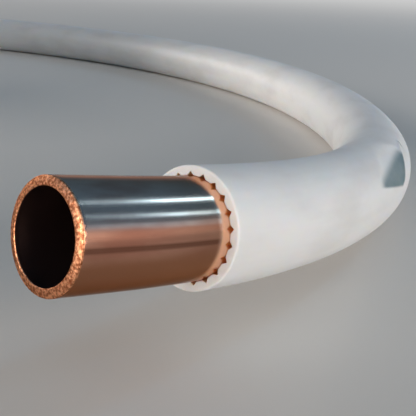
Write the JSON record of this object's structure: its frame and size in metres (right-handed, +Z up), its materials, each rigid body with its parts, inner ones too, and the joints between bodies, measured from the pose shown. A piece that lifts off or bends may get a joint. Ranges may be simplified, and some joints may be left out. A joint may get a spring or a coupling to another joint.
{
  "type": "coil of sheathed copper tube",
  "caption": "Flat-lying coil of soft copper tube in a white plastic sheath, its outer end sprung free and stripped bare.",
  "frame": {"origin": "on the floor, under the middle of the whole outline of the lying coil", "axes": "+Z up, across the lying turns; the bare end points towards -X"},
  "size_m": [0.534, 0.593, 0.072],
  "materials": {
    "copper": "polished",
    "sheath_plastic": "satin"
  },
  "bodies": {
    "root": {"copper_tube": "copper", "sheath": "sheath_plastic", "wound_turns": "sheath_plastic"}
  },
  "joints": []
}
